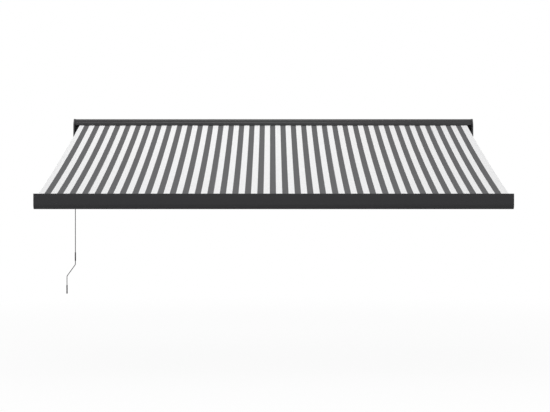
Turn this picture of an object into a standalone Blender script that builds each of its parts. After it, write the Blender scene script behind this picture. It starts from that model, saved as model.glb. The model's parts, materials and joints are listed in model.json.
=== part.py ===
"""Folding-arm awning with a full cassette, a crank drive and a cloth on a roller.

The awning is modelled at full extension. Metres, +X to the right as seen from the front, -Y away
from the wall, +Z up. The wall plane is Y = 0, and the origin is a point of the middle wall
bracket's back face, on its upright middle line. Heights inside the cassette are measured from the
hood's lip.
"""

import math

import bmesh
import bpy
from mathutils import Vector

# Overall sizes
WIDTH = 4.50
CLOTH_MARGIN = 0.067
SLOPE = math.radians(15.75)
LIP_HEIGHT = 0.035
BAR_HEIGHT = 0.144
BAR_DEPTH = 0.050
BAR_WALL = 0.002
BAR_SWEEP = 0.0548
BAR_SWEEP_TURN = 57
BAR_PLUG = 0.012
BAR_PLUG_TOP = 0.022

# Hood extrusion
HOOD_HEIGHT = 0.069
HOOD_WALL = 0.002
HOOD_LIP = 0.006
HOOD_LIP_DEPTH = 0.009
HOOD_FACE_PROUD = 0.002
LOWER_FACET = 0.027
FACET_STEP = 0.0055
FACET_STEP_RISE = 0.0065
HOOD_TOP_ROUND = 0.026
HOOD_REAR_RISE = 0.003
HOOD_REAR_RUN = 0.016
HOOD_REAR_ROUND = 0.012
HOOD_FINE_ROUND = 0.002

# Cassette back extrusion and end caps
WALL_GAP = 0.020
BACK_WALL = 0.003
FLOOR_WALL = 0.003
CAP_THICKNESS = 0.017
CAP_WALL = 0.004
CAP_OVERHANG = 0.028
CAP_PROUD = 0.003
CAP_SETBACK = 0.008
CAP_BROW = 0.012
CAP_ROUNDS = (0.008, 0.010, 0.030, 0.040, 0.014)
HOOD_SOCKET = 0.0045
SOCKET_WALL = 0.0025
SEAT_DROP = 0.006
HOOK_WALL = 0.003
HOOK_DROP = 0.0127
HOOK_CLEAR = 0.0015
HOOK_LEG_HEIGHT = 0.018
WORM_EXIT = 0.010
RAIL_HEIGHT = 0.018
RAIL_DEPTH = 0.008
RAIL_WALL = 0.002
RAIL_SLOT = 0.009
RAIL_LOW = -0.118
RAIL_HIGH = -0.056

# Wall brackets
BRACKET_X = 1.80
BRACKET_WIDTH = 0.15
BRACKET_PLATE = 0.006
BRACKET_TONGUE = 0.004
BRACKET_LEDGE = 0.006
BRACKET_REACH = 0.060
BRACKET_HOLE_X = 0.045
BRACKET_HOLE_DROP = 0.060
BRACKET_HOLE = 0.006
BOLT_RADIUS = 0.004
BOLT_HEAD = 0.0065
BOLT_HEAD_HEIGHT = 0.0055
BOLT_Y = 0.045

# Roller and cloth
ROLLER_RADIUS = 0.039
ROLLER_WALL = 0.0015
ROLLER_BACK = 0.136
ROLLER_DROP = 0.0065
ROLLER_MARGIN = 0.007
ROLL_THICKNESS = 0.0032
CLOTH_THICKNESS = 0.0012
CLOTH_SAG = 0.028
CLOTH_STEPS = 24
CLOTH_WRAP = 75
GROOVE_RADIUS = 0.0042
GROOVE_WALL = 0.0033
GROOVE_MOUTH = 0.0016
BEAD_RADIUS = 0.0034
PLUG_DEPTH = 0.040
FLANGE = 0.003

# Folding arms
ARM_LENGTH = 1.57
ARM_ANGLE = 72.34
CLOSED_GAP = 0.070
SHOULDER_INSET = 0.28
SHOULDER_DEPTH = 0.085
SHOULDER_DROP = 0.083
WRIST_STANDOFF = 0.040
TUBE_WIDTH = 0.034
TUBE_HEIGHT = 0.044
TUBE_CORNER = 0.012
TUBE_WALL = 0.0025
TUBE_OFFSET = 0.018
KNUCKLE_ROOT = 0.034
KNUCKLE_END = 0.062
KNUCKLE_PLUG = 0.040
TONGUE_HEIGHT = 0.024
TONGUE_RADIUS = 0.0165
EAR_RADIUS = 0.0205
EAR_THICKNESS = 0.0095
PIN_RADIUS = 0.005
SHOULDER_PIN_RADIUS = 0.007
SHOULDER_TONGUE_HEIGHT = 0.028
SHOULDER_RADIUS = 0.022
SHOULDER_EAR = 0.007
SHOULDER_PLATE = 0.008
SHOULDER_FOOT = 0.006
SHOULDER_TOP = 0.040
SHOULDER_OUT = 0.056
SHOULDER_IN = 0.040
SHOULDER_RIB = 0.010
SHOULDER_EAR_OUT = 0.050
WRIST_RADIUS = 0.0175
WRIST_EAR = 0.005
WRIST_PLATE = 0.006
WRIST_PLATE_HALF = 0.032
WRIST_PLATE_HEIGHT = 0.050
WRIST_EAR_HALF = 0.022
PIN_HEAD = 0.0025
STRAP_THICKNESS = 0.002
STRAP_HEIGHT = 0.018
SPRING_RADIUS = 0.011
SPRING_WIRE = 0.0017
SPRING_TURNS = 10
SPRING_LENGTH = 0.30

# Gearbox and crank
GEAR_INSET = 0.0175
GEAR_THICKNESS = 0.034
GEAR_RADIUS = 0.031
WORM_OFFSET = 0.030
WORM_RADIUS = 0.0115
WORM_SHAFT = 0.0055
DRIVE_SQUARE = 0.013
EYE_CLEAR = 0.004
EYE_RADIUS = 0.0125
EYE_WIRE = 0.0035
ROD_RADIUS = 0.0042
HOOK_RADIUS = 0.0130
HOOK_LEG = 0.026
CRANK_BOTTOM = 1.902
CRANK_FOOT = 0.1965
CRANK_BEND = 0.1305
CRANK_OFFSET = 0.0950
CRANK_ROUND = 0.030
GRIP_RADIUS = 0.0070
GRIP_LENGTH = 0.095
GRIP_OVER_BEND = 0.138

# Clearances
GAP = 0.0003
RUNNING = 0.0004
CLOSE_GAP = 0.003
BAR_SIDE_GAP = 0.012
ROUND = 20

# Places worked out from the sizes, with depths measured from the wall
CLOSED_WRIST_DEPTH = SHOULDER_DEPTH + CLOSED_GAP * math.cos(SLOPE)
CLOSED_FACE_DEPTH = CLOSED_WRIST_DEPTH + WRIST_STANDOFF + BAR_DEPTH
LIP_DEPTH = CLOSED_FACE_DEPTH - 0.0044
BAR_TOP_OVER_WRIST = SHOULDER_DROP + CLOSED_GAP * math.sin(SLOPE) - CLOSE_GAP
FLOOR_BOTTOM = -(CLOSE_GAP + BAR_HEIGHT + FLOOR_WALL)
FLOOR_TOP = FLOOR_BOTTOM + FLOOR_WALL
FLOOR_FRONT = CLOSED_WRIST_DEPTH + WRIST_STANDOFF - 0.006
BACK_INNER = WALL_GAP + BACK_WALL
CLOTH_WIDTH = WIDTH - 2 * CLOTH_MARGIN
ROLLER_DEPTH = LIP_DEPTH - ROLLER_BACK
ROLLER_GROOVE_DEPTH = ROLLER_RADIUS - GROOVE_RADIUS - 0.0006
ROLL_RADIUS = ROLLER_RADIUS + GAP + ROLL_THICKNESS
CLOTH_RADIUS = ROLL_RADIUS + GAP + CLOTH_THICKNESS / 2
ROLLER_END = CLOTH_WIDTH / 2 + ROLLER_MARGIN
CAP_INNER = WIDTH / 2 - CAP_THICKNESS
SHOULDER_X = WIDTH / 2 - SHOULDER_INSET
BODY_END = CAP_INNER - GAP
BAR_END = CAP_INNER - BAR_SIDE_GAP
TRAVEL = 2 * ARM_LENGTH * math.sin(math.radians(ARM_ANGLE)) - CLOSED_GAP
GROOVE_DEPTH = BAR_DEPTH - GROOVE_RADIUS - GROOVE_WALL
GROOVE_DROP = GROOVE_RADIUS + GROOVE_WALL
GEAR_X = WIDTH / 2 - GEAR_INSET
EYE_DROP = CAP_PROUD - FLOOR_BOTTOM + EYE_CLEAR + EYE_WIRE + EYE_RADIUS
CRANK_BEND_BOTTOM = CRANK_BOTTOM - CRANK_FOOT
CRANK_BEND_TOP = CRANK_BEND_BOTTOM - CRANK_BEND
UPPER_GRIP_TOP = CRANK_BEND_TOP - GRIP_OVER_BEND
OPEN_FACE_DEPTH = CLOSED_FACE_DEPTH + TRAVEL * math.cos(SLOPE)
OPEN_BAR_TOP = -CLOSE_GAP - TRAVEL * math.sin(SLOPE)


def remove_everything():
    for item in list(bpy.data.objects):
        bpy.data.objects.remove(item, do_unlink=True)


def collection(name):
    made = bpy.data.collections.new(name)
    bpy.context.scene.collection.children.link(made)
    return made


def material(name, colour, roughness, metallic=0.0):
    made = bpy.data.materials.new(name)
    made.use_nodes = True
    shader = made.node_tree.nodes["Principled BSDF"]
    shader.inputs["Base Color"].default_value = (*colour, 1.0)
    shader.inputs["Roughness"].default_value = roughness
    shader.inputs["Metallic"].default_value = metallic
    return made


# Outlines: lists of 2D points

def arc(centre, radius, start, end, steps=8):
    """Points along an arc from one angle to another, in degrees."""
    angles = [math.radians(start + (end - start) * i / steps) for i in range(steps + 1)]
    return [(centre[0] + radius * math.cos(a), centre[1] + radius * math.sin(a)) for a in angles]


def circle(centre, radius, steps=ROUND):
    return arc(centre, radius, 0, 360, steps)[:-1]


def box(low, high):
    return [(low[0], low[1]), (high[0], low[1]), (high[0], high[1]), (low[0], high[1])]


def rounded(corners, closed=True, steps=4):
    """A path of (x, y, radius) corners with a true arc at each corner that has a radius."""
    points = []
    count = len(corners)
    for i, (x, y, radius) in enumerate(corners):
        corner = Vector((x, y))
        ends = not closed and i in (0, count - 1)
        if ends or radius == 0:
            points.append((x, y))
            continue
        before = (Vector(corners[i - 1][:2]) - corner).normalized()
        after = (Vector(corners[(i + 1) % count][:2]) - corner).normalized()
        half = before.angle(after) / 2
        centre = corner + (before + after).normalized() * (radius / math.sin(half))
        first = corner + before * (radius / math.tan(half)) - centre
        turn = first.angle_signed(corner + after * (radius / math.tan(half)) - centre)
        for step in range(steps + 1):
            angle = -turn * step / steps
            spoke = Vector((
                first.x * math.cos(angle) - first.y * math.sin(angle),
                first.x * math.sin(angle) + first.y * math.cos(angle),
            ))
            points.append(tuple(centre + spoke))
    return points


def offset(points, distance, closed=False):
    """The path moved to its left by a distance, with mitred corners."""
    moved = []
    count = len(points)
    for i, point in enumerate(points):
        here = Vector(point)
        sides = []
        if closed or i > 0:
            sides.append((here - Vector(points[i - 1])).normalized())
        if closed or i < count - 1:
            sides.append((Vector(points[(i + 1) % count]) - here).normalized())
        normals = [Vector((-side.y, side.x)) for side in sides]
        middle = sum(normals, Vector((0, 0))).normalized()
        moved.append(tuple(here + middle * (distance / middle.dot(normals[0]))))
    return moved


def band(path, thickness):
    """A strip of even thickness on the left of an open path."""
    return path + offset(path, thickness)[::-1]


def hull(points):
    """The convex outline round a set of points."""
    ordered = sorted(set(points))
    chains = []
    for run in (ordered, ordered[::-1]):
        chain = []
        for point in run:
            while len(chain) > 1:
                edge = Vector(chain[-1]) - Vector(chain[-2])
                step = Vector(point) - Vector(chain[-2])
                if edge.x * step.y - edge.y * step.x > 0:
                    break
                chain.pop()
            chain.append(point)
        chains.append(chain[:-1])
    return chains[0] + chains[1]


def rounded_box(centre, width, height, radius, steps=4):
    x, y = centre
    w, h = width / 2, height / 2
    corners = [(x - w, y - h), (x + w, y - h), (x + w, y + h), (x - w, y + h)]
    return rounded([(*corner, radius) for corner in corners], steps=steps)


# Solids

def frame(name, parent=None, location=(0, 0, 0), rotation=(0, 0, 0)):
    empty = bpy.data.objects.new(name, None)
    AWNING.objects.link(empty)
    empty.parent = parent
    empty.location = location
    empty.rotation_euler = rotation
    return empty


def take_mesh(drawn):
    """Turns a drawn curve into a mesh object in the same place, with its caps welded on."""
    bpy.context.view_layer.update()
    evaluated = drawn.evaluated_get(bpy.context.evaluated_depsgraph_get())
    mesh = bpy.data.meshes.new_from_object(evaluated)
    form = bmesh.new()
    form.from_mesh(mesh)
    bmesh.ops.remove_doubles(form, verts=form.verts, dist=1e-6)
    bmesh.ops.recalc_face_normals(form, faces=form.faces)
    form.to_mesh(mesh)
    form.free()
    name = drawn.name
    solid = bpy.data.objects.new(name, mesh)
    AWNING.objects.link(solid)
    solid.parent = drawn.parent
    solid.location = drawn.location
    solid.rotation_euler = drawn.rotation_euler
    bpy.data.objects.remove(drawn, do_unlink=True)
    solid.name = name
    return solid


def profile(name, loops, start, end, along="X", parent=None):
    """A flat outline, with holes if it has more loops, pushed out along X or Z."""
    curve = bpy.data.curves.new(name, "CURVE")
    curve.dimensions = "2D"
    curve.fill_mode = "BOTH"
    curve.extrude = abs(end - start) / 2
    for loop in loops:
        spline = curve.splines.new("POLY")
        spline.points.add(len(loop) - 1)
        for point, (x, y) in zip(spline.points, loop):
            point.co = (x, y, 0, 1)
        spline.use_cyclic_u = True
    drawn = bpy.data.objects.new(name, curve)
    AWNING.objects.link(drawn)
    drawn.parent = parent
    middle = (start + end) / 2
    if along == "X":
        drawn.rotation_euler = (math.pi / 2, 0, math.pi / 2)
        drawn.location = (middle, 0, 0)
    else:
        drawn.location = (0, 0, middle)
    return take_mesh(drawn)


def rod(name, points, radius, parent=None, closed=False, resolution=2):
    """A round wire along a list of 3D points."""
    curve = bpy.data.curves.new(name, "CURVE")
    curve.dimensions = "3D"
    curve.bevel_depth = radius
    curve.bevel_resolution = resolution
    curve.use_fill_caps = not closed
    spline = curve.splines.new("POLY")
    spline.points.add(len(points) - 1)
    for point, place in zip(spline.points, points):
        point.co = (*place, 1)
    spline.use_cyclic_u = closed
    drawn = bpy.data.objects.new(name, curve)
    AWNING.objects.link(drawn)
    drawn.parent = parent
    return take_mesh(drawn)


def turned(name, outline, parent=None, location=(0, 0, 0), rotation=(0, 0, 0), steps=ROUND):
    """A solid of revolution round its own Z axis. The outline runs down its outer side, from axis
    to axis, or back up the bore of a sleeve."""
    mesh = bpy.data.meshes.new(name)
    edges = [(i, i + 1) for i in range(len(outline) - 1)]
    if outline[0][0] > 0:
        edges.append((len(outline) - 1, 0))
    mesh.from_pydata([(radius, 0, height) for radius, height in outline], edges, [])
    solid = bpy.data.objects.new(name, mesh)
    AWNING.objects.link(solid)
    solid.parent = parent
    solid.location = location
    solid.rotation_euler = rotation
    screw = solid.modifiers.new("Turn", "SCREW")
    screw.steps = steps
    screw.render_steps = steps
    screw.use_merge_vertices = True
    screw.merge_threshold = 1e-5
    return solid


def combine(solid, others, operation):
    """Adds the others to the solid, or cuts them from it, and files them with the cutters."""
    for other in others:
        modifier = solid.modifiers.new(other.name, "BOOLEAN")
        modifier.operation = operation
        modifier.object = other
        for holder in list(other.users_collection):
            holder.objects.unlink(other)
        CUTTERS.objects.link(other)
        other.hide_render = True
        other.display_type = "WIRE"
    return solid


def dress(solid, finish, bevel=0.0, angle=35):
    """Gives a solid its material, worn edges and smooth shading between them."""
    solid.data.materials.clear()
    solid.data.materials.append(finish)
    if bevel:
        edge = solid.modifiers.new("Edges", "BEVEL")
        edge.width = bevel
        edge.segments = 1
        edge.limit_method = "ANGLE"
        edge.angle_limit = math.radians(angle)
    solid.data.shade_smooth()
    solid.data.set_sharp_from_angle(angle=math.radians(angle))
    return solid


# Cassette

def hood(lip):
    """The hood extrusion: a straight lower facet, a step, and an upper facet that rolls back."""
    face = -(LIP_DEPTH + HOOD_FACE_PROUD)
    inside = -LIP_DEPTH + HOOD_LIP_DEPTH
    rear = -(WALL_GAP + HOOD_SOCKET + SOCKET_WALL)
    top = HOOD_HEIGHT
    path = rounded([
        (inside, HOOD_LIP, 0),
        (inside, 0, HOOD_FINE_ROUND / 2),
        (face, 0, HOOD_FINE_ROUND * 1.5),
        (face, LOWER_FACET, HOOD_FINE_ROUND),
        (face + FACET_STEP, LOWER_FACET + FACET_STEP_RISE, HOOD_FINE_ROUND),
        (face + FACET_STEP, top, HOOD_TOP_ROUND),
        (rear - HOOD_REAR_RUN, top + HOOD_REAR_RISE, HOOD_REAR_ROUND),
        (rear, top - SEAT_DROP, 0),
    ], closed=False, steps=5)
    shell = profile("cassette_hood", [band(path, -HOOD_WALL)], -BODY_END, BODY_END, parent=lip)
    seat = (rear, top - SEAT_DROP)
    bead = profile("hood_bead", [circle(seat, HOOD_SOCKET - RUNNING, 16)],
                   -BODY_END, BODY_END, parent=lip)
    combine(shell, [bead], "UNION")
    return dress(shell, PAINT)


def back(lip):
    """The back extrusion: floor, back wall, hood socket, wall hook and two bolt rails."""
    rear = -WALL_GAP
    seat = (rear - HOOD_SOCKET - SOCKET_WALL, HOOD_HEIGHT - SEAT_DROP)
    outer = HOOD_SOCKET + SOCKET_WALL
    floor_path = [(-FLOOR_FRONT, FLOOR_BOTTOM), (rear, FLOOR_BOTTOM),
                  (rear, seat[1] - SOCKET_WALL)]
    shell = profile("cassette_back", [band(floor_path, BACK_WALL)],
                    -BODY_END, BODY_END, parent=lip)
    socket = arc(seat, outer, -150, 105, 16) + arc(seat, HOOD_SOCKET, 105, -150, 16)
    hook_top = seat[1] - HOOK_DROP
    hook_leg = -(BRACKET_PLATE + HOOK_CLEAR)
    hook = [
        (rear - BACK_WALL / 2, hook_top - HOOK_WALL),
        (hook_leg - HOOK_WALL, hook_top - HOOK_WALL),
        (hook_leg - HOOK_WALL, hook_top - HOOK_LEG_HEIGHT),
        (hook_leg, hook_top - HOOK_LEG_HEIGHT),
        (hook_leg, hook_top),
        (rear - BACK_WALL / 2, hook_top),
    ]
    added = [
        profile("hood_socket", [socket], -BODY_END, BODY_END, parent=lip),
        profile("wall_hook", [hook], -BODY_END, BODY_END, parent=lip),
    ]
    for number, height in enumerate((RAIL_LOW, RAIL_HIGH)):
        inner = -BACK_INNER
        front = inner - RAIL_DEPTH
        rail = []
        for side in (-1, 1):
            edge = height + side * RAIL_HEIGHT / 2
            lip_edge = height + side * RAIL_SLOT / 2
            rail.append([
                (inner + 0.001, edge),
                (front, edge),
                (front, lip_edge),
                (front + RAIL_WALL, lip_edge),
                (front + RAIL_WALL, edge - side * RAIL_WALL),
                (inner + 0.001, edge - side * RAIL_WALL),
            ])
        for half, outline in zip(("lower", "upper"), rail):
            added.append(profile(f"rail_{number}_{half}", [outline],
                                 -BODY_END, BODY_END, parent=lip))
    combine(shell, added, "UNION")
    combine(shell, [worm_exit("floor_exit", lip)], "DIFFERENCE")
    return dress(shell, PAINT)


def worm_exit(name, lip):
    """The hole under the gearbox that the crank eye's shaft leaves through."""
    depth = 2 * (FLOOR_WALL + CAP_WALL)
    return turned(name, [(0, depth), (WORM_EXIT, depth), (WORM_EXIT, -depth), (0, -depth)],
                  parent=lip, location=(-GEAR_X, -(ROLLER_DEPTH + WORM_OFFSET), FLOOR_BOTTOM))


def cap_corners():
    """The end cap's side view: the cassette's form, carried forward to shelter the bar."""
    front = -(LIP_DEPTH + CAP_OVERHANG)
    top = HOOD_HEIGHT + CAP_PROUD
    low = FLOOR_BOTTOM - CAP_PROUD
    rear, crown, brow, chin, toe = CAP_ROUNDS
    return [
        (-CAP_SETBACK, low, rear),
        (-CAP_SETBACK, top - CAP_BROW, rear),
        (-WALL_GAP - crown, top + HOOD_REAR_RISE, crown),
        (-LIP_DEPTH + CAP_BROW, top, brow),
        (front, CAP_BROW, chin),
        (front, low, toe),
    ]


def end_cap(name, side, lip, finish):
    outer = rounded(cap_corners(), steps=5)
    pocket = offset(outer, CAP_WALL, closed=True)
    rim, floor = CAP_INNER, WIDTH / 2 - CAP_WALL
    cap = profile(name, [outer], side * rim, side * WIDTH / 2, parent=lip)
    hollow = profile(f"{name}_pocket", [pocket], side * (rim - CAP_WALL), side * floor, parent=lip)
    combine(cap, [hollow], "DIFFERENCE")
    if side < 0:
        combine(cap, [worm_exit("cap_exit", lip)], "DIFFERENCE")
    return dress(cap, finish, bevel=0.0015)


def wall_bracket(name, x, lip):
    """A wall plate with an upstanding tongue for the cassette's hook and a ledge under its floor."""
    plate = -BRACKET_PLATE
    tongue = plate - HOOK_CLEAR - HOOK_WALL - GAP - RUNNING
    hook_top = HOOD_HEIGHT - SEAT_DROP - HOOK_DROP
    seat = hook_top - HOOK_WALL - GAP
    ledge = FLOOR_BOTTOM - GAP
    pad = -WALL_GAP + GAP
    outline = [
        (0, ledge - BRACKET_LEDGE),
        (0, hook_top + 0.012),
        (plate, hook_top + 0.012),
        (plate, seat - 0.021),
        (tongue, seat - 0.021),
        (tongue, seat),
        (tongue - BRACKET_TONGUE, seat),
        (tongue - BRACKET_TONGUE, seat - 0.026),
        (plate, seat - 0.026),
        (plate, ledge + 0.035),
        (pad, ledge + 0.035),
        (pad, ledge + 0.012),
        (plate, ledge + 0.012),
        (plate, ledge),
        (-BRACKET_REACH, ledge),
        (-BRACKET_REACH, ledge - BRACKET_LEDGE),
    ]
    half = BRACKET_WIDTH / 2
    bracket = profile(name, [outline], x - half, x + half, parent=lip)
    holes = []
    for number, away in enumerate((-BRACKET_HOLE_X, BRACKET_HOLE_X)):
        holes.append(turned(
            f"{name}_hole_{number}",
            [(0, 0.02), (BRACKET_HOLE, 0.02), (BRACKET_HOLE, -0.02), (0, -0.02)],
            parent=lip, location=(x + away, -BRACKET_PLATE / 2, -BRACKET_HOLE_DROP),
            rotation=(math.pi / 2, 0, 0), steps=12,
        ))
    holes.append(turned(
        f"{name}_bolt_hole",
        [(0, 0.02), (BOLT_RADIUS + RUNNING, 0.02), (BOLT_RADIUS + RUNNING, -0.02), (0, -0.02)],
        parent=lip, location=(x, -BOLT_Y, ledge - BRACKET_LEDGE), steps=12,
    ))
    combine(bracket, holes, "DIFFERENCE")
    return dress(bracket, PAINT)


def bracket_bolt(name, x, lip):
    """A hexagon bolt up through the bracket's ledge, against the cassette's floor."""
    ledge = FLOOR_BOTTOM - GAP
    head_top = ledge - BRACKET_LEDGE - GAP
    bolt = turned(name, [
        (0, FLOOR_BOTTOM - GAP),
        (BOLT_RADIUS, FLOOR_BOTTOM - GAP),
        (BOLT_RADIUS, head_top - 0.001),
        (0, head_top - 0.001),
    ], parent=lip, location=(x, -BOLT_Y, 0), steps=12)
    flats = [(x + px, -BOLT_Y + py) for px, py in circle((0, 0), BOLT_HEAD, 6)]
    head = profile(f"{name}_head", [flats], head_top - BOLT_HEAD_HEIGHT, head_top,
                   along="Z", parent=lip)
    combine(bolt, [head], "UNION")
    return dress(bolt, STEEL)


# Roller and cloth

def cloth_path():
    """The cloth's middle line in the cassette's frame: round the roll, then down to the bar."""
    roller = Vector((-ROLLER_DEPTH, -ROLLER_DROP))
    groove = Vector((-(OPEN_FACE_DEPTH - GROOVE_DEPTH), OPEN_BAR_TOP - GROOVE_DROP))
    chord = groove - roller
    lean = math.atan2(-chord.y, -chord.x) + math.asin(CLOTH_RADIUS / chord.length)
    leave = lean + 4 * CLOTH_SAG / chord.length
    top = 90 + math.degrees(leave)
    wrap = arc(roller, CLOTH_RADIUS, top - CLOTH_WRAP, top, 10)
    start = Vector(wrap[-1])
    run = groove - start
    down = Vector((-run.y, run.x)).normalized()
    hang = []
    for step in range(1, CLOTH_STEPS + 1):
        t = step / CLOTH_STEPS
        hang.append(tuple(start + run * t + down * (4 * CLOTH_SAG * t * (1 - t))))
    return wrap + hang


def cloth(lip):
    """The cloth from its last turn on the roller to the bead in the bar's groove."""
    path = cloth_path()
    half = CLOTH_WIDTH / 2
    middle = offset(path, -CLOTH_THICKNESS / 2)
    sheet = profile("fabric_sheet", [band(middle, CLOTH_THICKNESS)], -half, half, parent=lip)
    bead = profile("fabric_bead", [circle(path[-1], BEAD_RADIUS, 12)], -half, half, parent=lip)
    combine(sheet, [bead], "UNION")
    return dress(sheet, CLOTH)


def roller_tube(axis):
    """A steel tube with a groove folded into its wall for the cloth's rear bead."""
    deep = (0, -ROLLER_GROOVE_DEPTH)
    mouth = math.degrees(math.asin(GROOVE_MOUTH / ROLLER_RADIUS))
    slot = math.degrees(math.asin(GROOVE_MOUTH / GROOVE_RADIUS))
    skin = math.degrees(math.asin((GROOVE_RADIUS + ROLLER_WALL) / ROLLER_RADIUS))
    outer = arc((0, 0), ROLLER_RADIUS, -90 + mouth, 270 - mouth, 44)
    outer += arc(deep, GROOVE_RADIUS, 270 - slot, -90 + slot, 14)
    inner = arc((0, 0), ROLLER_RADIUS - ROLLER_WALL, -90 + skin, 270 - skin, 36)
    inner += arc(deep, GROOVE_RADIUS + ROLLER_WALL, 200, -20, 10)
    tube = profile("roller_tube", [outer, inner], -ROLLER_END, ROLLER_END, parent=axis)
    return dress(tube, ZINC)


def roll(axis):
    """The turns of cloth that stay on the roller at full extension, as one spiral body."""
    turns = 48
    outer = []
    for step in range(turns):
        share = step / turns
        radius = ROLL_RADIUS - 0.001 * share
        angle = math.radians(120 - 360 * share)
        outer.append((radius * math.cos(angle), radius * math.sin(angle)))
    inner = circle((0, 0), ROLLER_RADIUS + GAP, 48)
    half = CLOTH_WIDTH / 2
    return dress(profile("fabric_roll", [outer, inner], -half, half, parent=axis), CLOTH)


def roller_plug(name, side, axis):
    """A moulded plug in the roller's end: a square socket on the left, a pin on the right."""
    bore = ROLLER_RADIUS - ROLLER_WALL - RUNNING
    start = ROLLER_END
    body = [
        (0, FLANGE + GAP),
        (ROLLER_RADIUS, FLANGE + GAP),
        (ROLLER_RADIUS, GAP),
        (bore, GAP),
        (bore, -PLUG_DEPTH),
        (0, -PLUG_DEPTH),
    ]
    turn = (0, side * math.pi / 2, 0)
    plug = turned(name, body, parent=axis, location=(side * start, 0, 0), rotation=turn, steps=32)
    wide = GROOVE_RADIUS + ROLLER_WALL + RUNNING
    ends = sorted((side * (start + GAP / 2), side * (start - PLUG_DEPTH - 0.01)))
    keyway = profile(f"{name}_keyway", [box((-wide, -ROLLER_RADIUS - 0.01),
                                            (wide, -ROLLER_GROOVE_DEPTH + wide))],
                     *ends, parent=axis)
    combine(plug, [keyway], "DIFFERENCE")
    if side < 0:
        half = DRIVE_SQUARE / 2 + RUNNING
        socket = profile(f"{name}_socket", [box((-half, -half), (half, half))],
                         -start - 0.01, -start + PLUG_DEPTH - 0.004, parent=axis)
        combine(plug, [socket], "DIFFERENCE")
    else:
        reach = WIDTH / 2 - CAP_WALL - 0.012
        pin = turned(f"{name}_pin", [
            (0, reach - start),
            (0.007, reach - start),
            (0.008, reach - start - 0.001),
            (0.008, 0),
            (0, 0),
        ], parent=axis, location=(start, 0, 0), rotation=turn)
        combine(plug, [pin], "UNION")
    return dress(plug, PLASTIC)


# Gearbox and crank

def gearbox(lip):
    """The gearbox: a round body over the roller's axis with an upright barrel for the worm."""
    centre = (-ROLLER_DEPTH, -ROLLER_DROP)
    worm = -(ROLLER_DEPTH + WORM_OFFSET)
    outer = WIDTH / 2 - CAP_WALL - GAP
    inner = outer - GEAR_THICKNESS
    outline = hull(circle(centre, GEAR_RADIUS, 36) + [
        (worm - WORM_RADIUS, centre[1] + 0.030),
        (worm - WORM_RADIUS, centre[1] - 0.030),
    ])
    body = profile("gearbox_housing", [outline], -outer, -inner, parent=lip)
    barrel = turned("worm_barrel", [
        (0, 0.034),
        (WORM_RADIUS - 0.002, 0.034),
        (WORM_RADIUS, 0.032),
        (WORM_RADIUS, -0.046),
        (WORM_RADIUS - 0.002, -0.048),
        (0, -0.048),
    ], parent=lip, location=(-GEAR_X, worm, centre[1]))
    combine(body, [barrel], "UNION")
    shaft = DRIVE_SQUARE * 0.75 + RUNNING
    bores = [
        turned("output_bore", [(0, 0.03), (shaft, 0.03), (shaft, -0.014), (0, -0.014)],
               parent=lip, location=(-inner, *centre), rotation=(0, math.pi / 2, 0)),
        turned("worm_bore", [
            (0, 0.010),
            (WORM_SHAFT + RUNNING, 0.010),
            (WORM_SHAFT + RUNNING, -0.06),
            (0, -0.06),
        ], parent=lip, location=(-GEAR_X, worm, centre[1] - 0.030)),
    ]
    combine(body, bores, "DIFFERENCE")
    return dress(body, PLASTIC)


def output_shaft(axis):
    """The gearbox's output: a round journal that ends in the square that drives the roller."""
    inner = WIDTH / 2 - CAP_WALL - GAP - GEAR_THICKNESS
    journal = turned("gear_output_shaft", [
        (0, 0.008),
        (DRIVE_SQUARE * 0.75, 0.008),
        (DRIVE_SQUARE * 0.75, -0.013),
        (0, -0.013),
    ], parent=axis, location=(-inner, 0, 0), rotation=(0, math.pi / 2, 0))
    half = DRIVE_SQUARE / 2
    square = profile("drive_square", [box((-half, -half), (half, half))],
                     -inner, -ROLLER_END + PLUG_DEPTH - 0.006, parent=axis)
    combine(journal, [square], "UNION")
    return dress(journal, STEEL)


def idler_block(lip):
    """The block in the right end cap that carries the roller's pin."""
    centre = (-ROLLER_DEPTH, -ROLLER_DROP)
    outer = WIDTH / 2 - CAP_WALL - GAP
    block = profile("idler_block", [circle(centre, GEAR_RADIUS - 0.006, 32)],
                    outer - 0.030, outer, parent=lip)
    bore = turned("idler_bore", [
        (0, 0.020),
        (0.008 + RUNNING, 0.020),
        (0.008 + RUNNING, -0.040),
        (0, -0.040),
    ], parent=lip, location=(outer - 0.030, *centre), rotation=(0, math.pi / 2, 0))
    combine(block, [bore], "DIFFERENCE")
    return dress(block, PLASTIC)


def crank_eye(axis):
    """The worm's shaft, ending under the cassette in a ring for the crank's hook."""
    top = -ROLLER_DROP - 0.030 + 0.009
    shaft = turned("crank_eye", [
        (0, top),
        (WORM_SHAFT, top),
        (WORM_SHAFT, -EYE_DROP + EYE_RADIUS + 0.004),
        (EYE_WIRE, -EYE_DROP + EYE_RADIUS - 0.001),
        (0, -EYE_DROP + EYE_RADIUS - 0.001),
    ], parent=axis)
    ring_points = [(0, y, z) for y, z in circle((0, -EYE_DROP), EYE_RADIUS, 20)]
    ring = rod("eye_ring", ring_points, EYE_WIRE, parent=axis, closed=True)
    combine(shaft, [ring], "UNION")
    return dress(shaft, STEEL)


def bend(start, corner, end, radius, steps=4):
    """Points round one corner of a rod that lies in a plane of constant Y."""
    path = rounded([(*start, 0), (*corner, radius), (*end, 0)], closed=False, steps=steps)
    return path[1:-1]


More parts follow.
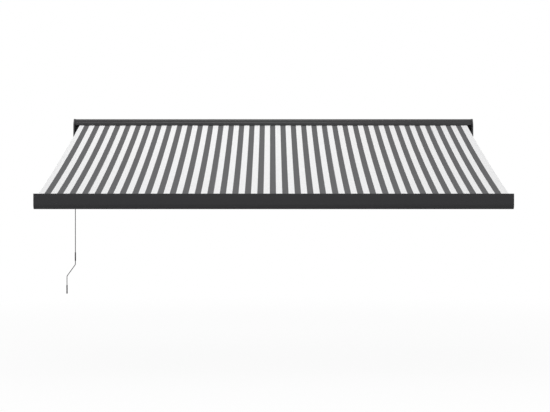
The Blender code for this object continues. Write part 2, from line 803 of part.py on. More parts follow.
def crank_rod(axis):
    """One bent steel rod: the hook through the eye, the long rod, and the S-bend at the foot."""
    wire = -EYE_DROP - EYE_RADIUS
    top = wire + EYE_WIRE + ROD_RADIUS + GAP
    centre = (0, top - HOOK_RADIUS)
    x = -HOOK_RADIUS
    tip = [(HOOK_RADIUS + 0.004, centre[1] - HOOK_LEG), (HOOK_RADIUS, centre[1] - HOOK_LEG * 0.6)]
    path = tip + arc(centre, HOOK_RADIUS, 0, 180, 10)
    upper, lower = (x, -CRANK_BEND_TOP), (x - CRANK_OFFSET, -CRANK_BEND_BOTTOM)
    foot = (lower[0], -CRANK_BOTTOM)
    path += bend(path[-1], upper, lower, CRANK_ROUND)
    path += bend(upper, lower, foot, CRANK_ROUND)
    path.append(foot)
    points = [(px, 0, pz) for px, pz in path]
    return dress(rod("crank_rod", points, ROD_RADIUS, parent=axis), ROD)


def grip(name, x, top, axis):
    """A moulded sleeve round the rod."""
    inner = ROD_RADIUS + RUNNING
    outline = [
        (inner, 0),
        (GRIP_RADIUS - 0.001, 0),
        (GRIP_RADIUS, -0.001),
        (GRIP_RADIUS, -GRIP_LENGTH + 0.001),
        (GRIP_RADIUS - 0.001, -GRIP_LENGTH),
        (inner, -GRIP_LENGTH),
    ]
    return dress(turned(name, outline, parent=axis, location=(x, 0, -top), steps=16), PLASTIC)


# Folding arms

def arm_outline(inset=0.0, side=1):
    """The arm tube's section, oval, to the outside of its pivots."""
    return rounded_box((side * TUBE_OFFSET, 0), TUBE_WIDTH - 2 * inset, TUBE_HEIGHT - 2 * inset,
                       TUBE_CORNER - inset)


def arm_tube(name, side, pivot):
    start, end = KNUCKLE_END + GAP, ARM_LENGTH - KNUCKLE_END - GAP
    loops = [arm_outline(side=side), arm_outline(TUBE_WALL, side)]
    return dress(profile(name, loops, start, end, parent=pivot), PAINT)


def knuckle(name, side, pivot, form, far=False):
    """A cast knuckle that plugs into the arm tube. Form is (radius, pin, layers), with each
    layer's lowest and highest height above the arm's middle plane. Far is the tube's other end."""
    radius, pin, layers = form

    def place(x):
        return ARM_LENGTH - x if far else x

    low, high = TUBE_OFFSET - TUBE_WIDTH / 2, TUBE_OFFSET + TUBE_WIDTH / 2
    root = KNUCKLE_ROOT + 0.006
    ends = sorted((place(KNUCKLE_ROOT), place(KNUCKLE_END)))
    cast = profile(name, [arm_outline(side=side)], *ends, parent=pivot)
    ends = sorted((place(KNUCKLE_END - 0.004), place(KNUCKLE_END + KNUCKLE_PLUG)))
    added = [profile(f"{name}_plug", [arm_outline(TUBE_WALL + GAP, side)], *ends, parent=pivot)]
    corners = [(root, low + 0.004), (root, min(high - 0.004, radius))]
    flat = [(place(x), side * y) for x, y in hull(circle((0, 0), radius) + corners)]
    for number, (bottom, top) in enumerate(layers):
        added.append(profile(f"{name}_lug_{number}", [flat], bottom, top, "Z", pivot))
    combine(cast, added, "UNION")
    bore = turned(f"{name}_bore", [
        (0, TUBE_HEIGHT),
        (pin + RUNNING, TUBE_HEIGHT),
        (pin + RUNNING, -TUBE_HEIGHT),
        (0, -TUBE_HEIGHT),
    ], parent=pivot, location=(place(0), 0, 0))
    combine(cast, [bore], "DIFFERENCE")
    return cast


def tongue(height):
    return [(-height / 2, height / 2)]


def fork(tongue_height, ear):
    """The heights of a fork's two ears, above and below a tongue."""
    inner = tongue_height / 2 + GAP
    return [(inner, inner + ear), (-inner - ear, -inner)]


def pin(name, radius, length, pivot, x=0.0):
    """A pin with a low head at the top and a retaining ring at the bottom."""
    half = length / 2 + 2 * GAP
    outline = [
        (0, half + PIN_HEAD),
        (radius + 0.002, half + PIN_HEAD),
        (radius + 0.003, half + PIN_HEAD - 0.001),
        (radius + 0.003, half),
        (radius, half),
        (radius, -half),
        (radius + 0.002, -half),
        (radius + 0.002, -half - 0.0012),
        (radius - 0.001, -half - 0.002),
        (0, -half - 0.002),
    ]
    return dress(turned(name, outline, parent=pivot, location=(x, 0, 0), steps=12), STEEL)


def strap_slot(name, side, pivot):
    """The window through the elbow fork that the pull strap runs in."""
    middle = side * (TONGUE_RADIUS + GAP + STRAP_THICKNESS / 2)
    half = STRAP_THICKNESS / 2 + 0.0025
    tall = STRAP_HEIGHT / 2 + 0.0015
    return profile(name, [box((middle - half, -tall), (middle + half, tall))],
                   ARM_LENGTH - KNUCKLE_END - KNUCKLE_PLUG - 0.01, ARM_LENGTH - KNUCKLE_ROOT + 0.01,
                   parent=pivot)


def spring(name, side, pivot):
    """The tension spring in the upper arm, hooked to the shoulder knuckle's plug."""
    start = KNUCKLE_END + KNUCKLE_PLUG + GAP + SPRING_WIRE
    steps = SPRING_TURNS * 8
    points = []
    for step in range(steps + 1):
        turn = 2 * math.pi * step / 8
        x = start + SPRING_LENGTH * step / steps
        y = side * (TUBE_OFFSET + SPRING_RADIUS * math.cos(turn))
        points.append((x, y, SPRING_RADIUS * math.sin(turn)))
    return dress(rod(name, points, SPRING_WIRE, parent=pivot, resolution=1), STEEL)


def strap(name, side, pivot):
    """The flat pull strap from the spring to the outside of the elbow."""
    inner = TONGUE_RADIUS + GAP
    outer = inner + STRAP_THICKNESS
    clear = math.sqrt((outer + GAP) ** 2 - inner ** 2)
    start = KNUCKLE_END + KNUCKLE_PLUG + 2 * GAP + 2 * SPRING_WIRE + SPRING_LENGTH
    ends = sorted((side * inner, side * outer))
    half = STRAP_HEIGHT / 2
    return dress(profile(name, [box((ends[0], -half), (ends[1], half))],
                         start, ARM_LENGTH - clear, parent=pivot), STEEL)


def cam_band(name, side, pivot):
    """The strap's end round the elbow tongue, as far as it wraps when the arm is folded."""
    inner = TONGUE_RADIUS + GAP
    outer = inner + STRAP_THICKNESS
    straight = KNUCKLE_ROOT - GAP
    wrapped = 90 + 177
    path = [(straight, inner)] + arc((0, 0), inner, 90, wrapped, 18)
    path += arc((0, 0), outer, wrapped, 90, 18) + [(straight, outer)]
    flat = [(x, side * y) for x, y in path]
    half = STRAP_HEIGHT / 2
    return dress(profile(name, [flat], -half, half, "Z", pivot), STEEL)


def shoulder_bracket(name, side, lip, plane):
    """The cast bracket on the cassette's back wall and floor that carries the arm's shoulder."""
    back_face = -(BACK_INNER + RAIL_DEPTH + GAP)
    x = -side * SHOULDER_X
    left, right = sorted((x - side * SHOULDER_OUT, x + side * SHOULDER_IN))
    seat = FLOOR_TOP + GAP
    foot_top = seat + SHOULDER_FOOT
    plate = profile(name, [box((back_face - SHOULDER_PLATE, seat), (back_face, -SHOULDER_TOP))],
                    left, right, parent=lip)
    rib_end = x - side * SHOULDER_EAR_OUT
    rib_left, rib_right = sorted((rib_end, rib_end + side * SHOULDER_RIB))
    rib = rounded([
        (back_face - 0.002, seat, 0),
        (back_face - 0.002, -SHOULDER_TOP - 0.006, 0),
        (back_face - SHOULDER_PLATE - 0.010, -SHOULDER_TOP - 0.006, 0.006),
        (-(SHOULDER_DEPTH + 0.010), foot_top, 0.004),
        (-(SHOULDER_DEPTH + 0.010), seat, 0),
    ])
    added = [
        profile(f"{name}_foot", [box((-(SHOULDER_DEPTH + 0.012), seat),
                                     (back_face - 0.002, foot_top))], left, right, parent=lip),
        profile(f"{name}_rib", [rib], rib_left, rib_right, parent=lip),
    ]
    for low, high in fork(SHOULDER_TONGUE_HEIGHT, SHOULDER_EAR):
        to_plate = SHOULDER_DEPTH + back_face - SHOULDER_PLATE / 2
        reach = (to_plate + (low + high) / 2 * math.sin(SLOPE)) / math.cos(SLOPE)
        outline = hull(circle((0, 0), SHOULDER_RADIUS) + [
            (side * SHOULDER_RADIUS, reach),
            (-side * SHOULDER_EAR_OUT, reach),
            (-side * SHOULDER_EAR_OUT, reach - 0.012),
        ])
        added.append(profile(f"{name}_ear_{len(added)}", [outline], low, high, "Z", plane))
    combine(plate, added, "UNION")
    bore = turned(f"{name}_bore", [
        (0, TUBE_HEIGHT),
        (SHOULDER_PIN_RADIUS + RUNNING, TUBE_HEIGHT),
        (SHOULDER_PIN_RADIUS + RUNNING, -TUBE_HEIGHT),
        (0, -TUBE_HEIGHT),
    ], parent=plane)
    combine(plate, [bore], "DIFFERENCE")
    return dress(plate, CASTING)


def wrist_bracket(name, level, plane):
    """The cast bracket behind the front bar that holds the arm's wrist."""
    to_plate = WRIST_STANDOFF - WRIST_PLATE / 2
    drop = -to_plate * math.tan(SLOPE)
    rear = -WRIST_STANDOFF + GAP
    section = rounded_box((rear + WRIST_PLATE / 2, drop), WRIST_PLATE, WRIST_PLATE_HEIGHT, 0.001, 2)
    plate = profile(name, [section], -WRIST_PLATE_HALF, WRIST_PLATE_HALF, parent=level)
    added = []
    for low, high in fork(TONGUE_HEIGHT, WRIST_EAR):
        reach = (to_plate - (low + high) / 2 * math.sin(SLOPE)) / math.cos(SLOPE)
        outline = hull(circle((0, 0), WRIST_RADIUS) + [(-WRIST_EAR_HALF, -reach),
                                                       (WRIST_EAR_HALF, -reach)])
        added.append(profile(f"{name}_ear_{len(added)}", [outline], low, high, "Z", plane))
    combine(plate, added, "UNION")
    bore = turned(f"{name}_bore", [
        (0, TUBE_HEIGHT),
        (PIN_RADIUS + RUNNING, TUBE_HEIGHT),
        (PIN_RADIUS + RUNNING, -TUBE_HEIGHT),
        (0, -TUBE_HEIGHT),
    ], parent=plane)
    combine(plate, [bore], "DIFFERENCE")
    return dress(plate, CASTING)


def arm(hand, side, lip):
    """One folding arm, at full extension. Side is 1 for the left arm and -1 for the right."""
    plane = frame(f"{hand}_arm_plane", lip, (-side * SHOULDER_X, -SHOULDER_DEPTH, -SHOULDER_DROP),
                  (SLOPE, 0, 0))
    first = math.radians(-ARM_ANGLE if side > 0 else ARM_ANGLE - 180)
    fold = math.radians(180 - 2 * ARM_ANGLE)
    shoulder = frame(f"{hand}_shoulder_pivot", plane, rotation=(0, 0, first))
    elbow = frame(f"{hand}_elbow_pivot", shoulder, (ARM_LENGTH, 0, 0), (0, 0, -side * fold))
    wrist = frame(f"{hand}_wrist_pivot", elbow, (ARM_LENGTH, 0, 0),
                  (0, 0, side * fold - first))
    level = frame(f"{hand}_wrist_level", wrist, rotation=(-SLOPE, 0, 0))
    shoulder_form = (SHOULDER_RADIUS - 0.001, SHOULDER_PIN_RADIUS, tongue(SHOULDER_TONGUE_HEIGHT))
    fork_form = (EAR_RADIUS, PIN_RADIUS, fork(TONGUE_HEIGHT, EAR_THICKNESS))
    tongue_form = (TONGUE_RADIUS, PIN_RADIUS, tongue(TONGUE_HEIGHT))
    shoulder_bracket(f"{hand}_shoulder_bracket", side, lip, plane)
    dress(knuckle(f"{hand}_shoulder_knuckle", side, shoulder, shoulder_form), CASTING)
    arm_tube(f"{hand}_upper_arm_tube", side, shoulder)
    elbow_fork = knuckle(f"{hand}_elbow_fork", side, shoulder, fork_form, far=True)
    combine(elbow_fork, [strap_slot(f"{hand}_strap_slot", side, shoulder)], "DIFFERENCE")
    dress(elbow_fork, CASTING)
    spring(f"{hand}_arm_spring", side, shoulder)
    strap(f"{hand}_pull_strap", side, shoulder)
    dress(knuckle(f"{hand}_elbow_tongue", side, elbow, tongue_form), CASTING)
    cam_band(f"{hand}_cam_band", side, elbow)
    arm_tube(f"{hand}_forearm_tube", side, elbow)
    dress(knuckle(f"{hand}_wrist_knuckle", side, elbow, tongue_form, far=True), CASTING)
    wrist_bracket(f"{hand}_wrist_bracket", level, wrist)
    pin(f"{hand}_shoulder_pin", SHOULDER_PIN_RADIUS, SHOULDER_TONGUE_HEIGHT + 2 * SHOULDER_EAR, plane)
    pin(f"{hand}_elbow_pin", PIN_RADIUS, TONGUE_HEIGHT + 2 * EAR_THICKNESS, elbow)
    pin(f"{hand}_wrist_pin", PIN_RADIUS, TONGUE_HEIGHT + 2 * WRIST_EAR, wrist)
    return level


# Front bar

def bar_sweep(inset=0.0):
    """The lower third of the bar's face, from the bottom up, where it curves back."""
    centre = (BAR_SWEEP, -BAR_HEIGHT + BAR_SWEEP * math.sin(math.radians(BAR_SWEEP_TURN)))
    turn = BAR_SWEEP_TURN - (2 if inset else 0)
    return arc(centre, BAR_SWEEP - inset, 180 + turn, 180, 8)


def bar_outlines():
    """The front bar's section: depth from its face, height from its top."""
    groove = (GROOVE_DEPTH, -GROOVE_DROP)
    shell = GROOVE_RADIUS + GROOVE_WALL
    mouth = 14
    lip_angle = math.degrees(math.asin(GROOVE_MOUTH / shell))
    slot_angle = math.degrees(math.asin(GROOVE_MOUTH / GROOVE_RADIUS))
    sweep = bar_sweep()
    outer = rounded([(*sweep[-1], 0), (0, 0, 0.003), (GROOVE_DEPTH, 0, 0)], closed=False)
    outer += arc(groove, shell, 80, mouth + lip_angle, 4)
    outer += arc(groove, GROOVE_RADIUS, mouth + slot_angle, mouth + 360 - slot_angle, 16)
    outer += arc(groove, shell, mouth - lip_angle, 0, 1)
    outer += rounded([(BAR_DEPTH, -GROOVE_DROP, 0), (BAR_DEPTH, -BAR_HEIGHT, 0.002),
                      (*sweep[0], 0)], closed=False, steps=2)[1:]
    outer += sweep[1:-1]
    wall = BAR_WALL
    inner_sweep = bar_sweep(wall)
    inner = [inner_sweep[-1], (wall, -wall), (GROOVE_DEPTH - shell, -wall)]
    inner += arc(groove, shell, 165, 290, 8)
    inner += [(BAR_DEPTH - wall, -GROOVE_DROP - shell - 0.004)]
    inner += [(BAR_DEPTH - wall, -BAR_HEIGHT + wall)] + inner_sweep[:-1]
    return outer, inner


def front_bar(edge):
    outer, inner = bar_outlines()
    end = BAR_END - CAP_WALL - GAP
    return dress(profile("front_bar", [outer, inner], -end, end, parent=edge), PAINT)


def bar_cap(name, side, edge):
    """The front bar's moulded end: a plate of the bar's own form, with a plug into its hollow."""
    sweep = bar_sweep()
    outline = rounded([(*sweep[-1], 0), (0, 0, 0.003), (BAR_DEPTH, 0, 0.004),
                       (BAR_DEPTH, -BAR_HEIGHT, 0.002), (*sweep[0], 0)],
                      closed=False, steps=3) + sweep[1:-1]
    plate = profile(name, [outline], side * (BAR_END - CAP_WALL), side * BAR_END, parent=edge)
    fit = BAR_WALL + GAP
    floor = bar_sweep(BAR_WALL)[0][1] + GAP
    hollow = [
        (fit, sweep[-1][1]),
        (fit, -BAR_PLUG_TOP),
        (BAR_DEPTH - fit, -BAR_PLUG_TOP),
        (BAR_DEPTH - fit, floor),
        (sweep[0][0] + fit, floor),
    ]
    plug = profile(f"{name}_plug", [hollow], side * (BAR_END - CAP_WALL - BAR_PLUG),
                   side * (BAR_END - CAP_WALL / 2), parent=edge)
    combine(plate, [plug], "UNION")
    return dress(plate, PLASTIC)


remove_everything()
AWNING = collection("folding_arm_awning")
CUTTERS = collection("cutters")
PAINT = material("anthracite_powder_coat", (0.030, 0.030, 0.032), 0.45)
PLASTIC = material("anthracite_moulding", (0.026, 0.026, 0.028), 0.55)
CASTING = material("anthracite_casting", (0.043, 0.043, 0.046), 0.50)
STEEL = material("bright_steel", (0.55, 0.55, 0.56), 0.35, 1.0)
ZINC = material("zinc_plated_steel", (0.50, 0.51, 0.52), 0.45, 1.0)
ROD = material("dark_enamel", (0.050, 0.050, 0.053), 0.40)
CLOTH = material("striped_cloth", (0.48, 0.48, 0.49), 0.95)


def build():
    lip = frame("cassette_frame", location=(0, 0, LIP_HEIGHT))
    axis = frame("roller_axis", lip, (0, -ROLLER_DEPTH, -ROLLER_DROP))
    crank = frame("crank_axis", lip, (-GEAR_X, -(ROLLER_DEPTH + WORM_OFFSET), 0))
    hood(lip)
    back(lip)
    end_cap("left_end_cap", -1, lip, PLASTIC)
    end_cap("right_end_cap", 1, lip, PLASTIC)
    for place, x in (("left", -BRACKET_X), ("middle", 0), ("right", BRACKET_X)):
        wall_bracket(f"{place}_wall_bracket", x, lip)
        bracket_bolt(f"{place}_bracket_bolt", x, lip)
    cloth(lip)
    roller_tube(axis)
    roll(axis)
    roller_plug("left_roller_plug", -1, axis)
    roller_plug("right_roller_plug", 1, axis)
    gearbox(lip)
    output_shaft(axis)
    idler_block(lip)
    crank_eye(crank)
    crank_rod(crank)
    grip("upper_crank_grip", -HOOK_RADIUS, UPPER_GRIP_TOP, crank)
    grip("lower_crank_grip", -HOOK_RADIUS - CRANK_OFFSET, CRANK_BOTTOM - GRIP_LENGTH + GAP, crank)
    level = arm("left", 1, lip)
    arm("right", -1, lip)
    edge = frame("bar_edge", level,
                 (SHOULDER_X, -(WRIST_STANDOFF + BAR_DEPTH), BAR_TOP_OVER_WRIST))
    front_bar(edge)
    bar_cap("left_bar_cap", -1, edge)
    bar_cap("right_bar_cap", 1, edge)


build()
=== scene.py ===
"""Looks of a folding-arm awning with a striped cloth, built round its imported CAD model.

Metres, in the CAD model's frame: +X to the right as seen from the front, -Y away from the wall,
+Z up, with the wall plane at Y = 0.
"""

import json
import math

import bmesh
import bpy
from mathutils import Matrix, Vector


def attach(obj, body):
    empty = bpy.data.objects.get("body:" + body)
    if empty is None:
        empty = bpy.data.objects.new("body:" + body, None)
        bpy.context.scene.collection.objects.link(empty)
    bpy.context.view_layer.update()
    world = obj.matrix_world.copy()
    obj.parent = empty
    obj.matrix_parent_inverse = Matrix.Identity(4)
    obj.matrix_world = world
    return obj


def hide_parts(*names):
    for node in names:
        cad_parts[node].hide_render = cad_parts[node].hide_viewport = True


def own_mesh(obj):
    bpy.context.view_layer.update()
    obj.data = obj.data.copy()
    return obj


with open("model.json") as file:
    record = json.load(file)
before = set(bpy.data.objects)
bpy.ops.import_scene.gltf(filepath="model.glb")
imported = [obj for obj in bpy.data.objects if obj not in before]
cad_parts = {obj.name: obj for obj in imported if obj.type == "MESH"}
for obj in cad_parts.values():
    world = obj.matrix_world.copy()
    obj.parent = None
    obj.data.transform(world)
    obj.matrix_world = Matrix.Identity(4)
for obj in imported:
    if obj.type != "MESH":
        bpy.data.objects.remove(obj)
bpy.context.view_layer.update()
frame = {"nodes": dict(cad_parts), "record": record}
NODES = frame["nodes"]

# Cloth: its width and stripes across X, then its line from roller to bar, as (Y, Z)
CLOTH_WIDTH = 4.366
CLOTH_THICKNESS = 0.0006
STRIPES = 75
STRIPE = 0.05814
MIDDLE_STRIPE_X = -0.0072
PANEL_STRIPES = 20
SEAM_LAP = 0.018
HEM_WIDTH = 0.024
ROLLER = Vector((-0.101972, 0.0285))
WRAP_RADIUS = 0.0437
WRAP_ANGLE = math.radians(75)
WRAP_STEPS = 12
FREE_STEPS = 64
BAR_GROOVE = Vector((-3.012188, -0.768655))
BEADED_EDGE = 0.0108
CLOSE_GAP = 0.0003
LAP_GAP = 0.0001
SAG = 0.028
PANEL_RIPPLE = 0.0028
CROSS_RIPPLE = 0.0012
CROSS_RIPPLE_ACROSS = 11.0
CROSS_RIPPLE_ALONG = 2.4
EDGE_LIFT = 0.004
EDGE_STEEPNESS = 9

# Where fasteners and small fittings sit, in (Y, Z) or (X, Z) of the face that holds them
HALF_WIDTH = 2.25
CAP_SCREWS = [(-0.034, 0.084), (-0.034, -0.096), (-0.232, -0.092)]
BAR_END = 2.221
BAR_CAP_SCREWS = [(-3.0190, -0.7840), (-3.0190, -0.8860)]
SHOULDER_X = 1.97
SHOULDER_FACE = -0.0393
SHOULDER_BOLTS = [(-1.995, -0.083), (-1.945, -0.083), (-1.9375, -0.021)]
WRIST_FACE = -2.9984
WRIST_PLATE_Z = -0.8706
WRIST_BOLT_OUT = 0.027
WRIST_BOLT_UP = 0.019
CRANK_Y = -0.131972
GRIP_RADIUS = 0.0070
GRIP_RIBS = 11
# Name, X, lowest and highest Z
CRANK_GRIPS = [("upper_grip_ribs", -2.2455, -1.4970, -1.4020),
               ("lower_grip_ribs", -2.3405, -1.8673, -1.7723)]

# Colours, linear
LIGHT_STRIPE = (0.935, 0.935, 0.94)
DARK_STRIPE = (0.121, 0.121, 0.125)
ANTHRACITE = (0.030, 0.030, 0.032)
CAST_GREY = (0.043, 0.043, 0.046)
MOULDED = (0.026, 0.026, 0.028)
ROD_GREY = (0.020, 0.020, 0.021)
GRIP_GREY = (0.020, 0.020, 0.021)
STEEL_GREY = (0.55, 0.55, 0.56)
SCREW_GREY = (0.60, 0.60, 0.61)
ZINC_GREY = (0.52, 0.53, 0.54)
THREAD_GREY = (0.42, 0.42, 0.43)
DUST_GREY = (0.42, 0.41, 0.39)
WORN_GREY = (0.16, 0.16, 0.16)

# How strongly the cloth is mottled, and how far sewing thread covers it and stands off it
CLOTH_MOTTLE = 0.22
THREAD_COVER = 0.8
THREAD_RISE = 2.0

# Stage, light and camera
FLOOR_Z = -2.45
FLOOR_HALF_SIZE = 300
FLOOR_SHADE = 0.86
FLOOR_WHITE_NEAR = 0.93
FLOOR_FADE = (2.5, 9.0)
WORLD_STRENGTH = 0.50
# Name, place, aim, size and power in watts
SOFTBOXES = [("overhead_softbox", (-0.8, -1.4, 6.0), (-0.4, -1.2, 0), (9, 2.8), 236),
             ("front_softbox", (0, -12.0, 3.0), (0, -2.0, -0.6), (10, 5), 225)]
CAMERA_PLACE = (-0.020, -15.838, -0.876)
FOCAL_LENGTH = 90.60
SENSOR_WIDTH = 36
CAMERA_SHIFT = 0.00633


# Node helpers

def put(tree, kind, inputs=None, **settings):
    """Adds a node, sets its fields, and fills its sockets with values or with other sockets."""
    made = tree.nodes.new(kind)
    for key, value in settings.items():
        setattr(made, key, value)
    for key, value in (inputs or {}).items():
        if isinstance(value, bpy.types.NodeSocket):
            tree.links.new(value, made.inputs[key])
        else:
            made.inputs[key].default_value = value
    return made


def maths(tree, operation, *values):
    return put(tree, "ShaderNodeMath", dict(enumerate(values)), operation=operation).outputs[0]


def blend_colour(tree, share, first, second, mode="MIX"):
    made = put(tree, "ShaderNodeMix", {"Factor": share}, data_type="RGBA", blend_type=mode)
    for key, value in ((6, first), (7, second)):
        if isinstance(value, bpy.types.NodeSocket):
            tree.links.new(value, made.inputs[key])
        else:
            made.inputs[key].default_value = (*value[:3], 1)
    return made.outputs[2]


def node_group(name, inputs, outputs):
    """An empty group with named sockets. Inputs are (name, kind, default), outputs (name, kind)."""
    tree = bpy.data.node_groups.new(name, "ShaderNodeTree")
    for label, kind, default in inputs:
        socket = tree.interface.new_socket(name=label, in_out="INPUT",
                                           socket_type=f"NodeSocket{kind}")
        if default is not None:
            socket.default_value = default
    for label, kind in outputs:
        tree.interface.new_socket(name=label, in_out="OUTPUT", socket_type=f"NodeSocket{kind}")
    return tree, tree.nodes.new("NodeGroupInput").outputs, tree.nodes.new("NodeGroupOutput").inputs


# Effects that several materials share

def even_stripes():
    """Even stripes across X, with a dark one in the middle and threads of both at each edge."""
    tree, given, result = node_group("even_stripes", [
        ("Position", "Vector", None),
        ("Width", "Float", STRIPE),
        ("Middle", "Float", MIDDLE_STRIPE_X),
        ("Outermost", "Float", (STRIPES - 1) / 2),
        ("Softness", "Float", 0.01),
    ], [("Light", "Float")])
    split = put(tree, "ShaderNodeSeparateXYZ", {0: given["Position"]})
    across = maths(tree, "DIVIDE", maths(tree, "SUBTRACT", split.outputs["X"], given["Middle"]),
                   given["Width"])
    # The outermost stripe goes on to the cloth's edge
    within = maths(tree, "MINIMUM", maths(tree, "ABSOLUTE", across), given["Outermost"])
    wave = maths(tree, "PINGPONG", within, 1.0)
    low = maths(tree, "SUBTRACT", 0.5, given["Softness"])
    high = maths(tree, "ADD", 0.5, given["Softness"])
    ramp = put(tree, "ShaderNodeMapRange", {
        "Value": wave, "From Min": low, "From Max": high, "To Min": 0.0, "To Max": 1.0,
    }, interpolation_type="SMOOTHSTEP")
    tree.links.new(ramp.outputs[0], result["Light"])
    return tree


def plain_weave():
    """Over-and-under threads: a height, and painted shade that darkens the colour where threads
    dip.
    """
    tree, given, result = node_group("plain_weave", [
        ("Position", "Vector", None),
        ("Thread", "Float", 0.0006),
        ("Unevenness", "Float", 0.25),
    ], [("Height", "Float"), ("Painted Shade", "Float")])
    wander = put(tree, "ShaderNodeTexNoise", {
        "Vector": given["Position"], "Scale": 160.0, "Detail": 2.0,
    })
    split = put(tree, "ShaderNodeSeparateXYZ", {0: given["Position"]})
    turns = maths(tree, "DIVIDE", math.pi, given["Thread"])
    drift = maths(tree, "MULTIPLY", wander.outputs["Fac"], 2.0)
    warp = maths(tree, "SINE", maths(tree, "ADD",
                                     maths(tree, "MULTIPLY", split.outputs["X"], turns), drift))
    weft = maths(tree, "SINE", maths(tree, "ADD",
                                     maths(tree, "MULTIPLY", split.outputs["Y"], turns), drift))
    woven = maths(tree, "MULTIPLY_ADD", maths(tree, "MULTIPLY", warp, weft), 0.5, 0.5)
    uneven = maths(tree, "MULTIPLY", maths(tree, "SUBTRACT", wander.outputs["Fac"], 0.5),
                   given["Unevenness"])
    height = maths(tree, "ADD", woven, uneven)
    tree.links.new(height, result["Height"])
    # Painted shade: the colour is darkened to 0.92 where the weave dips between threads
    shade = put(tree, "ShaderNodeMapRange", {
        "Value": height, "From Min": 0.0, "From Max": 1.0, "To Min": 0.92, "To Max": 1.0,
    })
    tree.links.new(shade.outputs[0], result["Painted Shade"])
    return tree


def slub_mottle():
    """Slubs along the threads and faint patches, as a multiplier near 1."""
    tree, given, result = node_group("slub_mottle", [
        ("Position", "Vector", None),
        ("Strength", "Float", 0.05),
    ], [("Multiplier", "Float")])
    long_way = put(tree, "ShaderNodeVectorMath", {0: given["Position"], 1: (220.0, 26.0, 26.0)},
                   operation="MULTIPLY")
    slub = put(tree, "ShaderNodeTexNoise", {"Vector": long_way.outputs[0], "Scale": 1.0,
                                           "Detail": 2.0})
    patch = put(tree, "ShaderNodeTexNoise", {"Vector": given["Position"], "Scale": 75.0,
                                            "Detail": 3.0, "Roughness": 0.7})
    both = maths(tree, "SUBTRACT", maths(tree, "ADD", slub.outputs["Fac"], patch.outputs["Fac"]),
                 1.0)
    tree.links.new(maths(tree, "MULTIPLY_ADD", both, given["Strength"], 1.0),
                   result["Multiplier"])
    return tree


def surface_grain():
    """A fine grain for coats, castings and mouldings, with its colour and roughness variation."""
    tree, given, result = node_group("surface_grain", [
        ("Position", "Vector", None),
        ("Colour", "Color", (0.5, 0.5, 0.5, 1)),
        ("Grain Scale", "Float", 900.0),
        ("Colour Variation", "Float", 0.08),
        ("Roughness", "Float", 0.5),
        ("Roughness Variation", "Float", 0.1),
    ], [("Colour", "Color"), ("Roughness", "Float"), ("Height", "Float")])
    grain = put(tree, "ShaderNodeTexNoise", {
        "Vector": given["Position"], "Scale": given["Grain Scale"], "Detail": 2.0,
        "Roughness": 0.6,
    })
    cloud = put(tree, "ShaderNodeTexNoise", {
        "Vector": given["Position"], "Scale": 5.0, "Detail": 3.0,
    })
    mixed = maths(tree, "SUBTRACT", maths(tree, "ADD", grain.outputs["Fac"],
                                          cloud.outputs["Fac"]), 1.0)
    shade = maths(tree, "MULTIPLY_ADD", mixed, given["Colour Variation"], 1.0)
    grey = put(tree, "ShaderNodeCombineColor", {0: shade, 1: shade, 2: shade})
    colour = blend_colour(tree, 1.0, given["Colour"], grey.outputs[0], "MULTIPLY")
    tree.links.new(colour, result["Colour"])
    tree.links.new(maths(tree, "MULTIPLY_ADD", mixed, given["Roughness Variation"],
                         given["Roughness"]), result["Roughness"])
    tree.links.new(grain.outputs["Fac"], result["Height"])
    return tree


def drawn_lines():
    """Fine lines along X, as an extrusion or a drawn wire keeps from its die."""
    tree, given, result = node_group("drawn_lines", [
        ("Position", "Vector", None),
        ("Fineness", "Float", 700.0),
    ], [("Lines", "Float")])
    drawn = put(tree, "ShaderNodeCombineXYZ", {
        "X": 0.6, "Y": given["Fineness"], "Z": given["Fineness"],
    })
    stretched = put(tree, "ShaderNodeVectorMath", {0: given["Position"], 1: drawn.outputs[0]},
                    operation="MULTIPLY")
    lines = put(tree, "ShaderNodeTexNoise", {"Vector": stretched.outputs[0], "Scale": 1.0,
                                            "Detail": 2.0})
    tree.links.new(lines.outputs["Fac"], result["Lines"])
    return tree


def settled_dust():
    """A share of pale dust that lies on faces that look up."""
    tree, given, result = node_group("settled_dust", [
        ("Position", "Vector", None),
        ("Amount", "Float", 0.05),
    ], [("Share", "Float")])
    facing = put(tree, "ShaderNodeNewGeometry")
    up = put(tree, "ShaderNodeSeparateXYZ", {0: facing.outputs["Normal"]})
    patch = put(tree, "ShaderNodeTexNoise", {"Vector": given["Position"], "Scale": 18.0,
                                            "Detail": 4.0})
    share = maths(tree, "MULTIPLY", maths(tree, "MAXIMUM", up.outputs["Z"], 0.0),
                  patch.outputs["Fac"])
    tree.links.new(maths(tree, "MULTIPLY", share, given["Amount"]), result["Share"])
    return tree


def worn_edges():
    """A share of wear that is high along outer edges and broken up into patches."""
    tree, given, result = node_group("worn_edges", [
        ("Position", "Vector", None),
        ("Reach", "Float", 0.0012),
        ("Amount", "Float", 0.3),
    ], [("Share", "Float")])
    rounded = put(tree, "ShaderNodeBevel", {"Radius": given["Reach"]}, samples=4)
    facing = put(tree, "ShaderNodeNewGeometry")
    agree = put(tree, "ShaderNodeVectorMath", {0: rounded.outputs[0], 1: facing.outputs["Normal"]},
                operation="DOT_PRODUCT").outputs["Value"]
    edge = put(tree, "ShaderNodeMapRange", {
        "Value": agree, "From Min": 0.995, "From Max": 0.90, "To Min": 0.0, "To Max": 1.0,
    }, interpolation_type="SMOOTHSTEP").outputs[0]
    patch = put(tree, "ShaderNodeTexNoise", {"Vector": given["Position"], "Scale": 60.0,
                                            "Detail": 4.0})
    broken = put(tree, "ShaderNodeMapRange", {
        "Value": patch.outputs["Fac"], "From Min": 0.38, "From Max": 0.60,
        "To Min": 0.1, "To Max": 1.0,
    }).outputs[0]
    tree.links.new(maths(tree, "MULTIPLY", maths(tree, "MULTIPLY", edge, broken),
                         given["Amount"]), result["Share"])
    return tree


